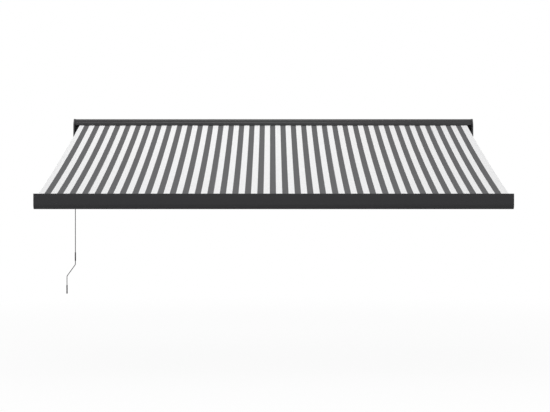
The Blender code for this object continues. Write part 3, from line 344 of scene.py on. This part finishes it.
def stitch_rows():
    """A row of stitches along Y on either side of each seam: where their thread lies."""
    tree, given, result = node_group("stitch_rows", [
        ("Position", "Vector", None),
        ("Repeat", "Float", 1.0),
        ("Offset", "Float", 0.0),
        ("Row", "Float", 0.006),
        ("Pitch", "Float", 0.0045),
    ], [("Mask", "Float")])
    split = put(tree, "ShaderNodeSeparateXYZ", {0: given["Position"]})
    reach = maths(tree, "MULTIPLY", given["Repeat"], 0.5)
    off_seam = maths(tree, "WRAP", maths(tree, "SUBTRACT", split.outputs["X"], given["Offset"]),
                     reach, maths(tree, "MULTIPLY", reach, -1.0))
    off_row = maths(tree, "ABSOLUTE", maths(tree, "SUBTRACT", maths(tree, "ABSOLUTE", off_seam),
                                            given["Row"]))
    beside = put(tree, "ShaderNodeMapRange", {
        "Value": off_row, "From Min": 0.0003, "From Max": 0.0006, "To Min": 1.0, "To Max": 0.0,
    }, interpolation_type="SMOOTHSTEP")
    along = maths(tree, "PINGPONG", maths(tree, "DIVIDE", split.outputs["Y"], given["Pitch"]), 0.5)
    dash = put(tree, "ShaderNodeMapRange", {
        "Value": along, "From Min": 0.08, "From Max": 0.16, "To Min": 0.0, "To Max": 1.0,
    }, interpolation_type="SMOOTHSTEP")
    tree.links.new(maths(tree, "MULTIPLY", beside.outputs[0], dash.outputs[0]), result["Mask"])
    return tree


STRIPE_GROUP = even_stripes()
STITCH_GROUP = stitch_rows()
WEAVE_GROUP = plain_weave()
MOTTLE_GROUP = slub_mottle()
GRAIN_GROUP = surface_grain()
LINES_GROUP = drawn_lines()
DUST_GROUP = settled_dust()
WEAR_GROUP = worn_edges()


def place_group(tree, group, inputs):
    made = tree.nodes.new("ShaderNodeGroup")
    made.node_tree = group
    for key, value in inputs.items():
        if isinstance(value, bpy.types.NodeSocket):
            tree.links.new(value, made.inputs[key])
        else:
            made.inputs[key].default_value = value
    return made.outputs


def new_material(name):
    made = bpy.data.materials.new(name)
    made.use_nodes = True
    tree = made.node_tree
    place = put(tree, "ShaderNodeTexCoord").outputs["Object"]
    return made, tree, tree.nodes["Principled BSDF"], place


def cloth_material():
    """Spun acrylic cloth in even light and dark stripes."""
    made, tree, shader, place = new_material("striped_awning_cloth")
    light = place_group(tree, STRIPE_GROUP, {"Position": place})["Light"]
    weave = place_group(tree, WEAVE_GROUP, {"Position": place})
    mottle = place_group(tree, MOTTLE_GROUP, {"Position": place,
                                              "Strength": CLOTH_MOTTLE})["Multiplier"]
    stripes = blend_colour(tree, light, DARK_STRIPE, LIGHT_STRIPE)
    seam_sewn = place_group(tree, STITCH_GROUP, {
        "Position": place, "Repeat": PANEL_STRIPES * STRIPE,
        "Offset": MIDDLE_STRIPE_X + (PANEL_STRIPES + 1) * STRIPE / 2, "Row": SEAM_LAP / 3,
    })["Mask"]
    hem_sewn = place_group(tree, STITCH_GROUP, {
        "Position": place, "Repeat": CLOTH_WIDTH - HEM_WIDTH,
        "Offset": (CLOTH_WIDTH - HEM_WIDTH) / 2, "Row": HEM_WIDTH / 3,
    })["Mask"]
    sewn = maths(tree, "MAXIMUM", seam_sewn, hem_sewn)
    # Light threads show through the dark stripes and dark flecks in them
    heather = put(tree, "ShaderNodeTexNoise", {"Vector": place, "Scale": 420.0, "Detail": 1.0})
    fleck = put(tree, "ShaderNodeMapRange", {
        "Value": heather.outputs["Fac"], "From Min": 0.35, "From Max": 0.65,
        "To Min": 0.94, "To Max": 1.05,
    })
    # The weave's output multiplies painted shade into the cloth's colour in the dips between
    # threads
    tone = maths(tree, "MULTIPLY", maths(tree, "MULTIPLY", weave["Painted Shade"], mottle),
                 maths(tree, "MULTIPLY_ADD", maths(tree, "SUBTRACT", fleck.outputs[0], 1.0),
                       maths(tree, "SUBTRACT", 1.0, maths(tree, "MULTIPLY", light, 0.75)), 1.0))
    grey = put(tree, "ShaderNodeCombineColor", {0: tone, 1: tone, 2: tone})
    colour = blend_colour(tree, 1.0, stripes, grey.outputs[0], "MULTIPLY")
    colour = blend_colour(tree, maths(tree, "MULTIPLY", sewn, THREAD_COVER), colour, THREAD_GREY)
    tree.links.new(colour, shader.inputs["Base Color"])
    shader.inputs["Roughness"].default_value = 0.95
    shader.inputs["Specular IOR Level"].default_value = 0.12
    shader.inputs["Sheen Weight"].default_value = 0.06
    shader.inputs["Sheen Roughness"].default_value = 0.6
    bump = put(tree, "ShaderNodeBump", {
        "Height": maths(tree, "MULTIPLY_ADD", sewn, THREAD_RISE, weave["Height"]),
        "Strength": 0.15, "Distance": 0.0002,
    })
    tree.links.new(bump.outputs[0], shader.inputs["Normal"])
    return made


def coated(name, colour, roughness, grain, depth, spread=0.10, dust=0.0, lines=0.0, metallic=0.0,
           wear=0.0, level=0.5):
    """A coat, casting, moulding or bare metal. Grain is its fineness, depth its bump, spread its
    change of colour, and level how much it mirrors."""
    made, tree, shader, place = new_material(name)
    skin = place_group(tree, GRAIN_GROUP, {
        "Position": place, "Colour": (*colour, 1), "Grain Scale": grain,
        "Colour Variation": spread, "Roughness": roughness, "Roughness Variation": 0.14,
    })
    shade = skin["Colour"]
    rough = skin["Roughness"]
    height = skin["Height"]
    if lines:
        drawn = place_group(tree, LINES_GROUP, {"Position": place})["Lines"]
        height = maths(tree, "MULTIPLY_ADD", drawn, lines, height)
    if dust:
        share = place_group(tree, DUST_GROUP, {"Position": place, "Amount": dust})["Share"]
        shade = blend_colour(tree, share, shade, DUST_GREY)
    if wear:
        worn = place_group(tree, WEAR_GROUP, {"Position": place, "Amount": wear})["Share"]
        shade = blend_colour(tree, worn, shade, WORN_GREY)
        rough = maths(tree, "MULTIPLY_ADD", worn, -0.2, rough)
    tree.links.new(shade, shader.inputs["Base Color"])
    tree.links.new(rough, shader.inputs["Roughness"])
    shader.inputs["Metallic"].default_value = metallic
    shader.inputs["Specular IOR Level"].default_value = level
    bump = put(tree, "ShaderNodeBump", {"Height": height, "Strength": depth, "Distance": 0.0004})
    tree.links.new(bump.outputs[0], shader.inputs["Normal"])
    return made


CLOTH = cloth_material()
PAINT = coated("cassette_powder_coat", ANTHRACITE, roughness=0.38, grain=1400.0, depth=0.06,
               dust=0.01, wear=0.3, level=0.34)
BAR_PAINT = coated("front_bar_powder_coat", ANTHRACITE, roughness=0.50, grain=1400.0, depth=0.08,
                   dust=0.03, wear=0.3, level=0.2)
ARM_PAINT = coated("arm_powder_coat", ANTHRACITE, roughness=0.46, grain=1400.0, depth=0.10,
                   dust=0.03, wear=0.4, level=0.3)
CASTING = coated("coated_casting", CAST_GREY, roughness=0.55, grain=420.0, depth=0.30,
                 spread=0.14, dust=0.02, wear=0.6)
PLASTIC = coated("fine_grained_moulding", MOULDED, roughness=0.60, grain=1100.0, depth=0.22,
                 spread=0.12, dust=0.03, wear=0.3)
SOFT_GRIP = coated("grip_moulding", GRIP_GREY, roughness=0.70, grain=1500.0, depth=0.22,
                   spread=0.12, wear=0.3, level=0.2)
STEEL = coated("drawn_steel", STEEL_GREY, roughness=0.34, grain=1600.0, depth=0.06, lines=0.5,
               metallic=1.0)
STAINLESS = coated("screw_steel", SCREW_GREY, roughness=0.28, grain=1800.0, depth=0.05,
                   metallic=1.0)
ZINC = coated("zinc_plate", ZINC_GREY, roughness=0.42, grain=60.0, depth=0.04, spread=0.22,
              metallic=1.0)
ENAMEL = coated("rod_enamel", ROD_GREY, roughness=0.50, grain=1500.0, depth=0.05, spread=0.06,
                level=0.18)

FINISHES = {
    "cassette_paint": PAINT,
    "arm_paint": ARM_PAINT,
    "casting": CASTING,
    "moulding": PLASTIC,
    "steel": STEEL,
    "zinc": ZINC,
    "rod_enamel": ENAMEL,
    "cloth": CLOTH,
}
for part in frame["record"]["subparts"]:
    mesh = NODES[part["node"]].data
    mesh.materials.clear()
    mesh.materials.append(FINISHES[part["material_slot"]])
for name in ("upper_crank_grip", "lower_crank_grip"):
    NODES[name].data.materials[0] = SOFT_GRIP
NODES["front_bar"].data.materials[0] = BAR_PAINT


# Pieces

def add_piece(name, form, finish, body, smooth=40):
    """Makes an object of a bmesh, shades it, and lets it ride on a CAD body."""
    mesh = bpy.data.meshes.new(name)
    bmesh.ops.recalc_face_normals(form, faces=form.faces)
    form.to_mesh(mesh)
    form.free()
    mesh.materials.append(finish)
    mesh.shade_smooth()
    mesh.set_sharp_from_angle(angle=math.radians(smooth))
    piece = bpy.data.objects.new(name, mesh)
    bpy.context.scene.collection.objects.link(piece)
    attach(piece, body)
    return piece


def lathe(form, outline, place, steps=20):
    """Adds a turned solid to a bmesh. The outline is (radius, height) points from axis to axis."""
    rings = []
    for radius, height in outline:
        if radius < 1e-7:
            rings.append([form.verts.new(place @ Vector((0, 0, height)))])
            continue
        ring = []
        for step in range(steps):
            angle = 2 * math.pi * step / steps
            ring.append(form.verts.new(place @ Vector((radius * math.cos(angle),
                                                      radius * math.sin(angle), height))))
        rings.append(ring)
    for first, second in zip(rings, rings[1:]):
        for step in range(steps):
            after = (step + 1) % steps
            corners = [first[step % len(first)], first[after % len(first)],
                       second[after % len(second)], second[step % len(second)]]
            unique = [c for i, c in enumerate(corners) if c not in corners[:i]]
            form.faces.new(unique)


def facing(place, direction):
    """A matrix that puts local +Z along a direction at a place."""
    turn = Vector(direction).normalized().to_track_quat("Z", "Y").to_matrix().to_4x4()
    return Matrix.Translation(Vector(place)) @ turn


def screw(form, place, direction, radius=0.004, height=0.0022, drive=0.0019):
    """A pan-head screw with a hexagon socket, sunk 0.2 mm into what it holds."""
    spot = facing(place, direction)
    low = -0.0002
    lathe(form, [
        (0, low),
        (radius, low),
        (radius, height * 0.45),
        (radius * 0.90, height * 0.80),
        (radius * 0.68, height),
        (drive, height),
        (drive, height * 0.35),
        (0, height * 0.35),
    ], spot, 12)


def washer(form, place, direction, radius, hole, thickness=0.0012):
    spot = facing(place, direction)
    lathe_ring(form, [(hole, 0), (radius, 0), (radius, thickness), (hole, thickness)], spot, 20)


def lathe_ring(form, outline, place, steps=20):
    """Adds a turned ring to a bmesh, from a closed outline."""
    rings = []
    for radius, height in outline:
        rings.append([form.verts.new(place @ Vector((
            radius * math.cos(2 * math.pi * step / steps),
            radius * math.sin(2 * math.pi * step / steps), height))) for step in range(steps)])
    for i, ring in enumerate(rings):
        other = rings[(i + 1) % len(rings)]
        for step in range(steps):
            after = (step + 1) % steps
            form.faces.new([ring[step], ring[after], other[after], other[step]])


# Cloth

def cloth_line():
    """Middle line of the cloth, in (Y, Z): round the roll, then down to the bar's groove. Also
    the point where it leaves the roll."""
    chord = BAR_GROOVE - ROLLER
    lean = math.atan2(-chord.y, -chord.x) + math.asin(WRAP_RADIUS / chord.length)
    top = math.pi / 2 + lean + 4 * SAG / chord.length
    line = []
    for step in range(WRAP_STEPS + 1):
        angle = top - WRAP_ANGLE * (1 - step / WRAP_STEPS)
        line.append(ROLLER + WRAP_RADIUS * Vector((math.cos(angle), math.sin(angle))))
    start = line[-1]
    run = BAR_GROOVE - start
    down = Vector((-run.y, run.x)).normalized()
    for step in range(1, FREE_STEPS + 1):
        t = step / FREE_STEPS
        line.append(start + run * t + down * (4 * SAG * t * (1 - t)))
    return line, start


CLOTH_LINE, TANGENT = cloth_line()
FREE_RUN = BAR_GROOVE - TANGENT
# The sheet ends just behind the bar, and its beaded edge goes on into the groove
INTO_GROOVE = (CLOTH_LINE[-1] - CLOTH_LINE[-2]).normalized()
CLOTH_LINE[-1] = BAR_GROOVE - BEADED_EDGE * INTO_GROOVE
FREE_LINE = CLOTH_LINE[WRAP_STEPS + 1:]
BEAD_LINE = [BAR_GROOVE - share * (BEADED_EDGE - CLOSE_GAP) * INTO_GROOVE for share in (1, 0.5, 0)]


def ripple(x, t):
    """How far the tensioned cloth stands off its even sag at X and at share t of its free run."""
    panel = PANEL_STRIPES * STRIPE
    wave = PANEL_RIPPLE * math.cos(2 * math.pi * x / panel)
    wave += CROSS_RIPPLE * math.sin(CROSS_RIPPLE_ACROSS * x + CROSS_RIPPLE_ALONG * t)
    from_edge = 1 - abs(x) / (CLOTH_WIDTH / 2)
    curl = EDGE_LIFT * (1 - min(1, from_edge * EDGE_STEEPNESS)) ** 2
    return (wave + curl) * 4 * t * (1 - t)


def cloth_strip(name, line, across, lift, thickness, body):
    """A strip of cloth along a line. Across is a list of X values, lift its height over the
    line."""
    form = bmesh.new()
    grid = []
    for i, point in enumerate(line):
        t = max(0.0, (point - TANGENT).dot(FREE_RUN) / FREE_RUN.length_squared)
        along = (line[min(i + 1, len(line) - 1)] - line[max(i - 1, 0)]).normalized()
        normal = Vector((along.y, -along.x))
        row = []
        for x in across:
            high = lift + ripple(x, t)
            row.append(form.verts.new((x, point.x + normal.x * high, point.y + normal.y * high)))
        grid.append(row)
    for a, b in zip(grid, grid[1:]):
        for i in range(len(across) - 1):
            form.faces.new([a[i], a[i + 1], b[i + 1], b[i]])
    piece = add_piece(name, form, CLOTH, body, 60)
    solid = piece.modifiers.new("Thickness", "SOLIDIFY")
    solid.thickness = thickness
    solid.offset = 0
    bpy.context.view_layer.update()
    evaluated = piece.evaluated_get(bpy.context.evaluated_depsgraph_get())
    mesh = bpy.data.meshes.new_from_object(evaluated)
    mesh.set_sharp_from_angle(angle=math.radians(40))
    piece.modifiers.clear()
    piece.data = mesh
    return piece


def fold_with_bar(piece):
    """Gives a strip its own copy of its mesh."""
    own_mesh(piece)


def spread(low, high, count):
    return [low + (high - low) * i / count for i in range(count + 1)]


half = CLOTH_WIDTH / 2
across = spread(-half, half, STRIPES * 2)
sheet = cloth_strip("awning_cloth", CLOTH_LINE, across, 0.0, CLOTH_THICKNESS, "cassette")
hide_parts("fabric_sheet")
fold_with_bar(sheet)

# The edge that the bar's groove holds rides on the bar
bead = cloth_strip("beaded_front_edge", BEAD_LINE, across, 0.0, CLOTH_THICKNESS, "front_bar_body")

# The seams lie between panels of even width, from the middle out, and each lap is under the sheet
seams = [MIDDLE_STRIPE_X + (n + 0.5) * PANEL_STRIPES * STRIPE + STRIPE / 2 for n in (-2, -1, 0, 1)]
laps = [(f"seam_lap_{i + 1}", x - SEAM_LAP / 2, x + SEAM_LAP / 2) for i, x in enumerate(seams)]
laps += [("left_side_hem", -half, -half + HEM_WIDTH), ("right_side_hem", half - HEM_WIDTH, half)]
for name, low, high in laps:
    strip = cloth_strip(name, FREE_LINE, spread(low, high, 2), -CLOTH_THICKNESS - LAP_GAP,
                        CLOTH_THICKNESS, "cassette")
    fold_with_bar(strip)


# Fasteners and small fittings

def hexagon_bolt(form, place, direction, radius=0.0056, height=0.0042, turn=0.0):
    """A hexagon head with a chamfered top on a washer, sunk a little into what it holds."""
    spot = facing(place, direction)
    washer(form, place, direction, radius * 1.45, radius * 0.5)
    low, high = 0.0008, height
    rings = []
    for share, level in ((1.0, low), (1.0, high - 0.0006), (0.86, high)):
        ring = []
        for side in range(12):
            angle = math.pi * side / 6 + turn
            corner = 1.0 if side % 2 == 0 else math.cos(math.pi / 6)
            reach = radius * corner * (share if side % 2 == 0 or share == 1.0 else share * 1.04)
            ring.append(form.verts.new(spot @ Vector((reach * math.cos(angle),
                                                      reach * math.sin(angle), level))))
        rings.append(ring)
    for first, second in zip(rings, rings[1:]):
        for side in range(12):
            after = (side + 1) % 12
            form.faces.new([first[side], first[after], second[after], second[side]])
    form.faces.new(rings[0][::-1])
    form.faces.new(rings[-1])


def end_cap_screws():
    for hand, side in (("left", -1), ("right", 1)):
        form = bmesh.new()
        for y, z in CAP_SCREWS:
            screw(form, (side * HALF_WIDTH, y, z), (side, 0, 0), radius=0.0046, drive=0.0021)
        add_piece(f"{hand}_end_cap_screws", form, STAINLESS, "cassette")


def bar_cap_screws():
    for hand, side in (("left", -1), ("right", 1)):
        form = bmesh.new()
        for y, z in BAR_CAP_SCREWS:
            screw(form, (side * BAR_END, y, z), (side, 0, 0), radius=0.0036, drive=0.0017)
        add_piece(f"{hand}_bar_cap_screws", form, STAINLESS, "front_bar_body")


def shoulder_bolts():
    for hand, side in (("left", 1), ("right", -1)):
        form = bmesh.new()
        for i, (x, z) in enumerate(SHOULDER_BOLTS):
            hexagon_bolt(form, (side * x, SHOULDER_FACE, z), (0, -1, 0), turn=0.3 * i)
        add_piece(f"{hand}_shoulder_bolts", form, STEEL, "cassette", 30)


def wrist_bolts():
    for hand, side in (("left", 1), ("right", -1)):
        form = bmesh.new()
        for across in (-WRIST_BOLT_OUT, WRIST_BOLT_OUT):
            for up in (-WRIST_BOLT_UP, WRIST_BOLT_UP):
                screw(form, (-side * SHOULDER_X + across, WRIST_FACE, WRIST_PLATE_Z + up),
                      (0, 1, 0), radius=0.0040, height=0.0024, drive=0.0018)
        add_piece(f"{hand}_wrist_bolts", form, STAINLESS, "front_bar_body")


def grip_ribs():
    """Raised rings round each crank grip."""
    for name, x, low, high in CRANK_GRIPS:
        form = bmesh.new()
        wide = 0.0013
        for i in range(GRIP_RIBS):
            z = low + (high - low) * (i + 1) / (GRIP_RIBS + 1)
            outline = [(GRIP_RADIUS - 0.0003, -wide), (GRIP_RADIUS + 0.0004, -wide * 0.6),
                       (GRIP_RADIUS + 0.0006, 0), (GRIP_RADIUS + 0.0004, wide * 0.6),
                       (GRIP_RADIUS - 0.0003, wide)]
            lathe_ring(form, outline, Matrix.Translation((x, CRANK_Y, z)), 20)
        add_piece(name, form, SOFT_GRIP, "crank", 60)


def crank_foot():
    """A domed plug on the lower end of the crank's rod."""
    form = bmesh.new()
    x, z = CRANK_GRIPS[1][1], CRANK_GRIPS[1][2]
    dome = [(GRIP_RADIUS * math.cos(a), -GRIP_RADIUS * 0.5 * math.sin(a))
            for a in (math.radians(15 * i) for i in range(7))]
    dome[-1] = (0, -GRIP_RADIUS * 0.5)
    lathe(form, [(0, 0.0006), (GRIP_RADIUS - 0.0004, 0.0006)] + dome,
          Matrix.Translation((x, CRANK_Y, z)), 20)
    add_piece("crank_foot_plug", form, SOFT_GRIP, "crank", 50)


def cloth_stops():
    """Plugs in the bar's groove beside the cloth, which keep its bead from creeping out."""
    outline = [(0, 0), (0.0032, 0), (0.0037, 0.0005), (0.0037, 0.0115), (0.0032, 0.012),
               (0.0016, 0.012), (0.0016, 0.0095), (0, 0.0095)]
    for hand, side in (("left", -1), ("right", 1)):
        form = bmesh.new()
        beside = side * (CLOTH_WIDTH / 2 + 0.0015)
        lathe(form, outline, facing((beside, BAR_GROOVE.x, BAR_GROOVE.y), (side, 0, 0)), 16)
        add_piece(f"{hand}_cloth_stop", form, PLASTIC, "front_bar_body")


end_cap_screws()
bar_cap_screws()
shoulder_bolts()
wrist_bolts()
grip_ribs()
crank_foot()
cloth_stops()


# Eased edges of castings and wall brackets

def ease_edges(names, width, segments=2):
    for name in names:
        edge = NODES[name].modifiers.new("Eased edges", "BEVEL")
        edge.width = width
        edge.segments = segments
        edge.limit_method = "ANGLE"
        edge.angle_limit = math.radians(40)
        edge.harden_normals = True


CAST = [part["node"] for part in frame["record"]["subparts"] if part["material_slot"] == "casting"]
ease_edges(CAST, 0.0010)
ease_edges([f"{place}_wall_bracket" for place in ("left", "middle", "right")], 0.0006, 1)


# Stage, light and camera

def plain_floor():
    form = bmesh.new()
    bmesh.ops.create_grid(form, x_segments=1, y_segments=1, size=FLOOR_HALF_SIZE)
    mesh = bpy.data.meshes.new("floor")
    form.to_mesh(mesh)
    form.free()
    floor = bpy.data.objects.new("floor", mesh)
    bpy.context.scene.collection.objects.link(floor)
    floor.location = (0, 0, FLOOR_Z)
    material = bpy.data.materials.new("pale_floor")
    material.use_nodes = True
    tree = material.node_tree
    matt = tree.nodes["Principled BSDF"]
    matt.inputs["Base Color"].default_value = (FLOOR_SHADE, FLOOR_SHADE, FLOOR_SHADE, 1)
    matt.inputs["Roughness"].default_value = 0.9
    matt.inputs["Specular IOR Level"].default_value = 0.1
    white = put(tree, "ShaderNodeEmission", {"Color": (1, 1, 1, 1), "Strength": 1.0})
    path = put(tree, "ShaderNodeLightPath")
    place = put(tree, "ShaderNodeTexCoord").outputs["Object"]
    away = put(tree, "ShaderNodeVectorMath", {0: place}, operation="LENGTH").outputs["Value"]
    fade = put(tree, "ShaderNodeMapRange", {
        "Value": away, "From Min": FLOOR_FADE[0], "From Max": FLOOR_FADE[1],
        "To Min": FLOOR_WHITE_NEAR, "To Max": 1.0,
    }, interpolation_type="SMOOTHSTEP").outputs[0]
    seen = maths(tree, "MULTIPLY", path.outputs["Is Camera Ray"], fade)
    mixed = put(tree, "ShaderNodeMixShader", {0: seen, 1: matt.outputs[0], 2: white.outputs[0]})
    tree.links.new(mixed.outputs[0], tree.nodes["Material Output"].inputs["Surface"])
    mesh.materials.append(material)


def white_surround(strength):
    world = bpy.data.worlds.new("studio")
    bpy.context.scene.world = world
    world.use_nodes = True
    tree = world.node_tree
    plain = tree.nodes["Background"]
    plain.inputs["Color"].default_value = (1, 1, 1, 1)
    plain.inputs["Strength"].default_value = strength
    white = put(tree, "ShaderNodeBackground", {"Color": (1, 1, 1, 1), "Strength": 1.0})
    path = put(tree, "ShaderNodeLightPath")
    seen = maths(tree, "MAXIMUM", path.outputs["Is Camera Ray"],
                 maths(tree, "MAXIMUM", path.outputs["Is Transmission Ray"],
                       path.outputs["Is Glossy Ray"]))
    mixed = put(tree, "ShaderNodeMixShader", {0: seen, 1: plain.outputs[0], 2: white.outputs[0]})
    tree.links.new(mixed.outputs[0], tree.nodes["World Output"].inputs["Surface"])


def area_light(name, place, aim, size, power):
    lamp = bpy.data.lights.new(name, "AREA")
    lamp.shape = "RECTANGLE"
    lamp.size, lamp.size_y = size
    lamp.energy = power
    light = bpy.data.objects.new(name, lamp)
    light.location = place
    light.rotation_euler = (Vector(aim) - Vector(place)).to_track_quat("-Z", "Y").to_euler()
    bpy.context.scene.collection.objects.link(light)


plain_floor()
white_surround(WORLD_STRENGTH)
for softbox in SOFTBOXES:
    area_light(*softbox)

lens = bpy.data.cameras.new("photo_camera")
lens.lens = FOCAL_LENGTH
lens.sensor_width = SENSOR_WIDTH
lens.shift_x = CAMERA_SHIFT
lens.clip_end = 500
camera = bpy.data.objects.new("photo_camera", lens)
camera.location = CAMERA_PLACE
camera.rotation_euler = (math.pi / 2, 0, 0)
bpy.context.scene.collection.objects.link(camera)
bpy.context.scene.camera = camera
bpy.context.scene.view_settings.view_transform = "Standard"

bpy.context.view_layer.update()
